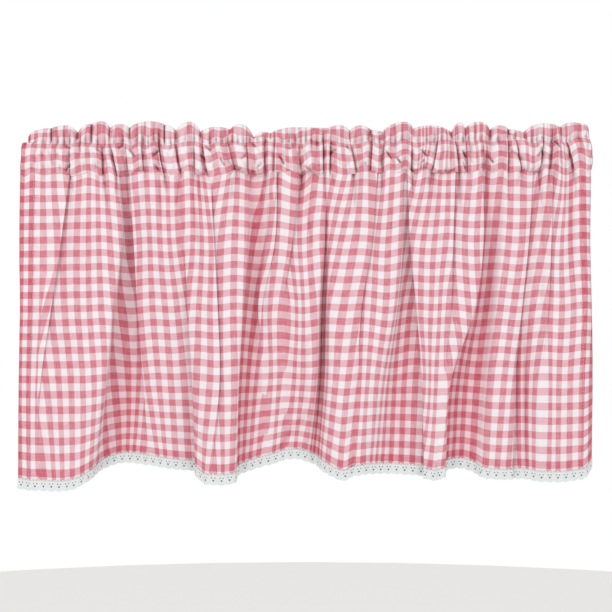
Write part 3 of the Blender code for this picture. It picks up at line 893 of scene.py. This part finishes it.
# The raw top edge is tucked up behind the pocket's seam
skirt_points = np.concatenate([skirt_points[:1] + (0.0, TUCKED_BEHIND, TUCKED_UP), skirt_points])
skirt_cloth_uv = np.concatenate([skirt_cloth_uv[:1] - (0.0, TUCKED_UP / REPEAT), skirt_cloth_uv])
side_columns = int(round(SIDE_HEM / COLUMN_STEP))
hem_rows = int(round(BOTTOM_HEM / ROW_STEP))
skirt_sheet = turned(skirt_points, skirt_cloth_uv, side_columns, hem_rows)
skirt = add_sheet("skirt_cloth", *skirt_sheet, gingham, SKIRT_CREVICE_SHADE)
row_lengths = np.linalg.norm(np.diff(skirt_points, axis=1), axis=2).sum(axis=1)
checks_across = float(skirt_cloth_uv[MIDDLE_ROW, -1, 0] - skirt_cloth_uv[MIDDLE_ROW, 0, 0])
print("cloth across, top / middle / hem: %.0f / %.0f / %.0f mm" % tuple(row_lengths[[0, MIDDLE_ROW, -1]]))
print("checks across:", round(checks_across, 1))

# %% [markdown]
# ## The heading
# The top of the cloth is turned over to the back and sewn through twice. Between the two seams it makes
# the tube that the rod runs through, and above them it stands up as a ruffle. Pushed together on a rod,
# the tube swells into puffs between deep tucks, and the arched ones hang a little over the seam below them.
# The heading is one sheet: up the front, over the top of the ruffle, and down the back.

# %% Heading rows
# Notches and tips of the ruffle's top edge: x and height
RUFFLE = (
    (-343, 10.5), (-316, 18), (-296, 21.5), (-283, 12), (-266, 23), (-252, 26.5), (-243, 19), (-229, 23),
    (-219, 19), (-192, 26.5), (-174, 22), (-161, 15), (-144, 26), (-131, 14), (-111, 19.5), (-94, 17),
    (-81, 23), (-65, 6), (-52, 13.5), (-44, 12), (-14, 19), (27, 19), (42, 21.5), (54, 15.5),
    (67, 21.5), (81, 15.5), (95, 14), (122, 26), (133, 18), (155, 21.5), (180, 13), (191, 25.5),
    (197, 18), (214, 26), (228, 16.5), (240, 21.5), (251, 16.5), (270, 13), (293, 24), (315, 20),
    (328, 25), (349, 21.5),
)
FRONT_SHARES = np.linspace(0.0, 1.0, 29)
RUFFLE_SHARES = np.linspace(0.1, 1.0, 10)
BACK_SHARES = np.linspace(0.0, 1.0, 15)
LOBE_SWING = 9.5
HALF_SEAM = 1.0
OVERHANG = 3.4
END_BULGE = 3.5
END_INSET = 6.5
BACK_WALL = 8.5
BACK_GATHER = 1.6
TOP_PINCH = 4.2
POCKET_DRIFT = 4.0
RUFFLE_DRIFT = 5.0
FLUTE = 2.1
ARCHED_LEVEL = 6.5
PINCH_FADE = 0.1
SAG_SHARE = 0.34
EVEN_REACH = 4

# The top of the skirt's own folds, which the lower seam follows
(top_points,), (top_uv,) = skirt_surface(along, down[:1])
top_order = np.argsort(top_points[:, 0])
top_x = top_points[top_order, 0]
top_forward = level(-top_points[top_order, 1], EVEN_REACH)


def lobed(x, power=0.6):
    """The ruffle's top edge: round lobes that meet in sharp notches, with a 0 to 1 share of each lobe."""
    places, heights = np.array(RUFFLE, float).T
    i = np.clip(np.searchsorted(places, x) - 1, 0, len(places) - 2)
    u = np.clip((x - places[i]) / (places[i + 1] - places[i]), 0, 1)
    rising = heights[i + 1] > heights[i]
    swell = np.where(rising, np.sin(0.5 * math.pi * u), np.cos(0.5 * math.pi * u)) ** power
    low = np.minimum(heights[i], heights[i + 1])
    return low + np.abs(heights[i + 1] - heights[i]) * swell, swell


def drift(x, share, scale):
    """Slow unevenness of the rows' heights, so that the checks waver from tuck to tuck."""
    return np.array([noise.noise(Vector((place / scale, 9.0, 1.4 * share))) for place in x])


def pocket_row(share, side):
    """One row of the pocket at a share of its height; side is 1 for its front wall and -1 for its back."""
    x, forward = rod_profile(share)
    forward = forward + np.interp(x, top_x, top_forward) * (1 - share) ** 2
    belly = math.sin(math.pi * share)
    z = lower_seam(x) + (upper_seam(x) - lower_seam(x)) * share
    if side > 0:
        pinch = np.abs(ripple(x, 2.6, 1.5, 15.0)) - 0.6
        forward = forward + TOP_PINCH * math.exp(-(1 - share) / PINCH_FADE) * pinch
        z = z + POCKET_DRIFT * belly * drift(x, share, 14.0)
        arched = level((np.interp(x, seam_x, seam_level) < ARCHED_LEVEL) * 1.0, EVEN_REACH)
        sag = math.sin(math.pi * min(1.0, share / SAG_SHARE))
        z = z - OVERHANG * sag * arched * np.clip((forward - 6.0) / 5.0, 0, 1)
    else:
        even = np.interp(rod_places, rod_places[[0, -1]], x[[0, -1]])
        gather = ripple(even, 1.9, 1.5, 13.0) + 0.7 * np.sin(even / 4.7)
        away = belly ** 0.35
        x = x + (even - x) * away * 0.8
        forward = (forward - 1.2) * (1 - away) - (BACK_WALL + BACK_GATHER * gather) * away
    x = x + END_BULGE * belly * np.clip(x / HALF_WIDTH, 0, 1) ** 40
    return np.stack([x, -forward, z], axis=1)


def ruffle_row(share, side):
    """One row of the ruffle, between the upper seam and its own top edge."""
    seam = pocket_row(1.0, 1)
    x = seam[:, 0] + END_INSET * np.exp(-(seam[:, 0] - TUCKS[0].upper) / 12.0)
    height, swell = lobed(x)
    flute = LOBE_SWING * (swell - 0.55) + FLUTE * np.abs(ripple(x, 4.4, 1.9, 17.0)) ** 0.7
    seam_forward = -seam[:, 1] * (1 - share) ** 1.3
    roll = (HALF_SEAM + 1.6 * math.sin(math.pi * share)) * math.sqrt(max(0.0, 1 - share ** 4))
    forward = flute * share ** 0.6 + side * roll * (1 - (1 - share) ** 2) + seam_forward
    uneven = RUFFLE_DRIFT * math.sin(math.pi * share) * drift(x, 1 + share, 11.0)
    return np.stack([x, -forward, seam[:, 2] + (height - seam[:, 2]) * share + uneven], axis=1)


# %% [markdown]
# Gathered cloth also buckles in short hooked creases beside its tucks, and in wrinkles that are finer than
# any table, which come from smooth noise. Along the rod the checks go on from the skirt. Up the cloth they
# follow its average length.

# %% Heading sheet
HOOK_DEPTH = 4.6
HOOK_WIDTH = 1.6
# Size and height of two layers of wrinkles, and the share of them on the ruffle and the back
FINE_WRINKLE = (5.0, 2.6)
WIDE_WRINKLE = (8.0, 3.0)
BACK_WRINKLE = 0.35
HEADING_SIDE = 6
# Where the hooked creases run: x and z of both ends
HOOKS = (
    (-298, -4, -288, -9), (-259, -7, -249, -17), (-232, -9, -224, -2), (-210, -19, -217, -9),
    (-154, -44, -148, -38), (-136, -37, -121, -33), (-86, -37, -78, -31), (-81, -22, -73, -15),
    (-62, -33, -54, -26), (-2, -30, 9, -36), (28, -15, 37, -9), (65, -31, 75, -26),
    (122, -36, 138, -35), (169, -35, 182, -35), (191, -9, 198, -19), (256, -12, 266, -22),
    (263, -35, 284, -34), (284, -19, 290, -9), (305, 3, 313, -7), (141, -9, 150, -19),
    (97, -9, 106, -22), (48, -4, 57, -12), (-22, -9, -14, -4), (-125, -4, -116, -12),
    (-180, -9, -190, -19), (-106, -20, -99, -30), (-34, -16, -26, -28), (222, -14, 231, -26),
    (-297, -36, -289, -26), (-131, -14, -122, -24), (-92, -26, -87, -37), (-69, -36, -56, -35),
    (110, -18, 117, -27), (137, -31, 146, -21), (192, -24, 197, -33), (252, -10, 260, -19),
    (288, -4, 293, -17), (30, 0, 36, -5), (-68, -1, -61, -6), (-186, -28, -180, -36),
)

# From the back wall's foot over the ruffle to the front wall's foot
heading_rows = [pocket_row(share, -1) for share in BACK_SHARES]
heading_rows += [ruffle_row(share, -1) for share in RUFFLE_SHARES]
heading_rows += [ruffle_row(share, 1) for share in RUFFLE_SHARES[::-1]]
heading_rows += [pocket_row(share, 1) for share in FRONT_SHARES[::-1]]
heading_points = np.array(heading_rows)
back_end = len(BACK_SHARES)
front_start = len(heading_points) - len(FRONT_SHARES)
wide_wrinkle = np.abs(crinkled(heading_points + 50.0, *WIDE_WRINKLE))
wrinkle = crinkled(heading_points, *FINE_WRINKLE) + 0.8 * wide_wrinkle
front_fade = np.clip(FRONT_SHARES[::-1] * 5.0, 0, 1)
heading_points[..., 1] -= wrinkle * np.concatenate([np.full(front_start, BACK_WRINKLE), front_fade])[:, None]
for ends in HOOKS:
    hook = Crease("hook", *ends, HOOK_DEPTH, HOOK_WIDTH)
    heading_points[front_start:, :, 1] += trough(heading_points[front_start:], hook)

face_u = np.interp(knot_x[on_face, 0], top_x, np.sort(top_uv[:, 0]))
heading_u = np.interp(rod_places, knot_places[on_face], face_u)
row_rise = np.median(np.linalg.norm(np.diff(heading_points, axis=0), axis=2), axis=1)
climb = running(row_rise[::-1])[::-1]
heading_v = (TOP_BAND - climb / REPEAT)[:, None] + check_waver(heading_points[..., 0], heading_points[..., 2])
heading_cloth = np.stack(np.broadcast_arrays(heading_u[None, :], heading_v), axis=2)
heading = add_sheet("heading_cloth", *turned(heading_points, heading_cloth, HEADING_SIDE, 0), gingham, 1.0)
print("cloth up and over the heading: %.0f mm" % climb[0])
widths = np.linalg.norm(np.diff(heading_points, axis=1), axis=2).sum(axis=1)
for part, rows in zip(("back", "ruffle", "front"), np.split(widths, [back_end, front_start])):
    print("cloth along the %s: %.0f mm" % (part, rows.mean()))

# %% [markdown]
# ## Lace
# The lace is a narrow strip sewn on the front of the hem, with a scalloped lower edge and, in each
# repeat, two small eyelets over a larger one. One repeat is drawn flat as an outline with rings of points
# round its eyelets, filled with triangles by a Delaunay cut, and then laid along the hem again and again.
# The eyelets are shallow pits, not clean holes, and the dark in them is painted shade.

# %% One repeat of the lace
LACE_REPEAT = 10.0
LACE_TOP = 1.8
LACE_STAND_OFF = 1.0
GRID = 0.85
PIT_DEPTH = 0.6
Eyelet = namedtuple("Eyelet", "across height radius")
EYELETS = (Eyelet(3.1, -3.0, 0.85), Eyelet(6.9, -3.0, 0.85), Eyelet(5.0, -6.3, 1.35))
RING_POINTS = 10
# Rings round an eyelet, as shares of its radius, and the distances that the grid keeps from rims and edges
RINGS = (0.55, 0.8, 1.0)
RIM_CLEAR = 0.35
EDGE_CLEAR = 0.4


def lace_foot(across):
    """Height of the scalloped lower edge, with a small point between two lobes."""
    turn = across / LACE_REPEAT
    lobe = -LACE_BELOW + 1.5 - 1.5 * abs(math.sin(math.pi * turn)) ** 0.7
    return lobe - 0.25 * math.sin(6 * math.pi * turn)


def lace_head(across):
    return LACE_TOP + 0.6 * math.cos(4 * math.pi * across / LACE_REPEAT)


def pit_at(across, height):
    """How far down in an eyelet a point of the lace lies, from 0 at the rim to 1 at its middle."""
    shares = [1 - math.hypot(across - e.across, height - e.height) / e.radius for e in EYELETS]
    return max(0.0, max(shares))


def lace_repeat():
    """Flat vertices and triangles of one repeat, with rings of points round its eyelets."""
    steps = int(LACE_REPEAT / GRID)
    columns = [LACE_REPEAT * k / steps for k in range(steps + 1)]
    spots = [(across, edge(across)) for edge in (lace_foot, lace_head) for across in columns]
    for row in range(int((LACE_TOP + LACE_BELOW) / GRID)):
        height = LACE_TOP - 0.8 - GRID * row
        for across in columns:
            clear = all(math.hypot(across - e.across, height - e.height) > e.radius + RIM_CLEAR for e in EYELETS)
            if clear and lace_foot(across) + EDGE_CLEAR < height < lace_head(across) - EDGE_CLEAR:
                spots.append((across, height))
    for eyelet in EYELETS:
        spots.append((eyelet.across, eyelet.height))
        for reach in (eyelet.radius * ring for ring in RINGS):
            for turn in (2 * math.pi * k / RING_POINTS for k in range(RING_POINTS)):
                spots.append((eyelet.across + reach * math.cos(turn), eyelet.height + reach * math.sin(turn)))
    flat, _, triangles, _, _, _ = delaunay_2d_cdt([Vector(spot) for spot in spots], [], [], 0, 1e-5)
    kept = []
    for triangle in triangles:
        centre = sum((flat[i] for i in triangle), Vector((0, 0))) / 3
        if lace_foot(centre.x) < centre.y < lace_head(centre.x):
            kept.append(list(triangle))
    return np.array([tuple(v) for v in flat]), np.array(kept)


lace_flat, lace_faces = lace_repeat()
lace_pits = np.array([pit_at(across, height) for across, height in lace_flat])
print("one lace repeat:", len(lace_flat), "points,", len(lace_faces), "triangles")

# %% [markdown]
# ## Lace material and its place on the hem
# The lace is plain off-white cotton net. Its threads are finer than half a millimetre, so they are relief
# in the bump, and the eyelets are painted darker towards their middles, as painted shade. The flat strip is
# laid on the front of the hem one repeat after the other, stretched a little so that a whole number of them
# fits.

# %% Lace along the hem
LACE_DARK = linear(220, 227, 227)
LACE_PALE = linear(246, 250, 249)
# Painted shade in the eyelets
PIT_SHADE = linear(96, 96, 106)


def make_lace_look():
    look = Look("cotton lace", Roughness=0.9, Sheen_Weight=0.15, Specular_IOR_Level=0.2)
    strip, a, b = look.cloth()
    net = (a * 5.2 + b * 5.2).math("SINE") * (a * 5.2 - b * 5.2).math("SINE")
    cloudy = look.noise(strip, 0.5, 3.0)
    colour = look.mix((net * 0.35 + 0.35 + cloudy * 0.4).clipped(), LACE_DARK, LACE_PALE)
    # Painted shade: the eyelets are painted darker towards their middles
    colour = look.mix((look.mask("pit") * 2.4).clipped(), colour, PIT_SHADE)
    look.feed(Base_Color=colour, Roughness=0.84 + cloudy * 0.1, Normal=look.bump(0.5, 0.0004, net + cloudy))
    return look.material


def line_places(line):
    """How far along a line each of its points lies."""
    return running(np.linalg.norm(np.diff(line, axis=0), axis=1))


def read_along(places, values, at):
    """Vectors that are given at places along a line, read anywhere on it."""
    return np.stack([np.interp(at, places, values[:, k]) for k in range(3)], axis=-1)


hem_line = skirt_points[-1]
hem_normal = normals_of(skirt_points)[-1]
hem_down = unit(skirt_points[-1] - skirt_points[-3])
hem_length = line_places(hem_line)
lace_count = int(hem_length[-1] / LACE_REPEAT)
stretch = hem_length[-1] / (lace_count * LACE_REPEAT)


def on_hem(across, height, stand_off):
    """A point of the flat lace strip, laid on the front of the hem."""
    seat, fall, out = (read_along(hem_length, values, across) for values in (hem_line, hem_down, hem_normal))
    return seat - fall * height[:, None] + out * stand_off


pit_off = (LACE_STAND_OFF - PIT_DEPTH * np.sqrt(lace_pits))[:, None]
lace_points, lace_uv, lace_triangles = [], [], []
for repeat in range(lace_count):
    across = (lace_flat[:, 0] + repeat * LACE_REPEAT) * stretch
    lace_triangles.append(lace_faces + repeat * len(lace_flat))
    lace_points.append(on_hem(across, lace_flat[:, 1], pit_off))
    lace_uv.append(np.stack([across, lace_flat[:, 1]], axis=1))
lace_points, lace_triangles, lace_uv = map(np.concatenate, (lace_points, lace_triangles, lace_uv))
pits = np.tile(lace_pits, lace_count)
lace = add_mesh("lace_edging", lace_points, lace_triangles, make_lace_look(), lace_uv, pit=pits)
print("lace: %d repeats over %.0f mm of hem" % (lace_count, hem_length[-1]))

# %% [markdown]
# ## Stitches
# A machine seam shows as a row of short stitches, each one a little pad of thread that dips into the cloth
# at both ends. They run along the lower seam of the rod pocket, beside the inner edges of the side hems and
# along the top of the lace. Modelled thread gives the seams their small beads of light, which a painted
# line wouldn't.

# %% Stitches
STITCH = 3.0
STITCH_GAP = 0.9
THREAD_RADIUS = 0.3
THREAD_SIDES = 5
THREAD_LIFT = 0.2
LACE_SEAM = 0.9
# Rings of a stitch: share of its length, share of its radius, and lift off the cloth
THREAD_RINGS = ((0.0, 0.35, -0.25), (0.2, 1.0, 0.2), (0.8, 1.0, 0.2), (1.0, 0.35, -0.25))


def make_thread_look():
    look = Look("sewing thread", Roughness=0.7, Sheen_Weight=0.3, Specular_IOR_Level=0.3)
    twist = look.noise(look.node("ShaderNodeTexCoord", {}, (), 3), 2600.0, 1.0)
    colour = look.mix(twist, linear(214, 150, 162), linear(238, 205, 211))
    look.feed(Base_Color=colour, Roughness=0.6 + twist * 0.25, Normal=look.bump(0.4, 0.0001, twist))
    return look.material


def add_stitches(name, lines, look):
    """Rows of thread along lines, each given as its points and the cloth's normals there."""
    vertices, faces = [], []
    turns = [2 * math.pi * k / THREAD_SIDES for k in range(THREAD_SIDES)]
    for line, normals in lines:
        length = line_places(line)
        for start in np.arange(1.0, length[-1] - STITCH, STITCH + STITCH_GAP):
            way = unit(read_along(length, line, start + STITCH) - read_along(length, line, start))
            out = unit(read_along(length, normals, start + 0.5 * STITCH))
            side = np.cross(way, out)
            first = len(vertices)
            for share, width, lift in THREAD_RINGS:
                centre = read_along(length, line, start + share * STITCH) + out * lift
                for turn in turns:
                    spoke = out * math.cos(turn) + side * math.sin(turn)
                    vertices.append(centre + spoke * THREAD_RADIUS * width)
            for ring in range(len(THREAD_RINGS) - 1):
                for k in range(THREAD_SIDES):
                    a, b = (first + ring * THREAD_SIDES + j % THREAD_SIDES for j in (k, k + 1))
                    faces.append((a, b, b + THREAD_SIDES, a + THREAD_SIDES))
    print("%s: %d stitches" % (name, len(vertices) // (THREAD_SIDES * len(THREAD_RINGS))))
    return add_mesh(name, np.array(vertices), np.array(faces), look)


thread = make_thread_look()
skirt_normals = normals_of(skirt_points)
heading_normals = normals_of(heading_points)
hem_places = np.arange(1.0, hem_length[-1], COLUMN_STEP)
seam_heights = np.full(hem_places.shape, LACE_TOP - LACE_SEAM)
lace_seam = on_hem(hem_places, seam_heights, LACE_STAND_OFF + THREAD_LIFT)
lace_out = read_along(hem_length, hem_normal, hem_places)
side_hem_lines = [(skirt_points[2:, k], skirt_normals[2:, k]) for k in (side_columns - 1, -side_columns)]
seam_line = [(heading_points[-2], heading_normals[-2])]
skirt_stitches = add_stitches("hem_stitches", side_hem_lines, thread)
heading_stitches = add_stitches("pocket_stitches", seam_line, thread)
lace_stitches = add_stitches("lace_stitches", [(lace_seam, lace_out)], thread)

# %% [markdown]
# ## Fit the pieces to the frame
# Every piece rides on the one body. The skirt, the heading and the lace stand for their plain solids, and the
# stitches are added to them. The size that the cloth was cut to is printed, and the floor gets a plain pale
# finish.

# %% Pieces, sheets and floor
SKIRT_DROP = 0.38
TURNED_IN = 6
heading_length = float(climb[0] + TURNED_IN) * MM
cloth_width = checks_across * REPEAT * MM + 2 * SIDE_HEM * MM
for piece, node, slot_name in (
    (skirt, "panel", "gingham"),
    (heading, "heading", "gathered_gingham"),
    (lace, "lace_trim", "lace"),
):
    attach(piece, "root")
    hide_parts(node)
for piece, slot_name in (
    (skirt_stitches, "gingham"),
    (heading_stitches, "gathered_gingham"),
    (lace_stitches, "lace"),
):
    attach(piece, "root")
cut = (cloth_width, SKIRT_DROP, heading_length)
print("cloth cut: %.3f m wide, %.3f m down and %.3f m over the heading" % cut)

plain = Look("pale floor", Base_Color=linear(244, 243, 241), Roughness=0.95)
floor.data.materials.append(plain.material)

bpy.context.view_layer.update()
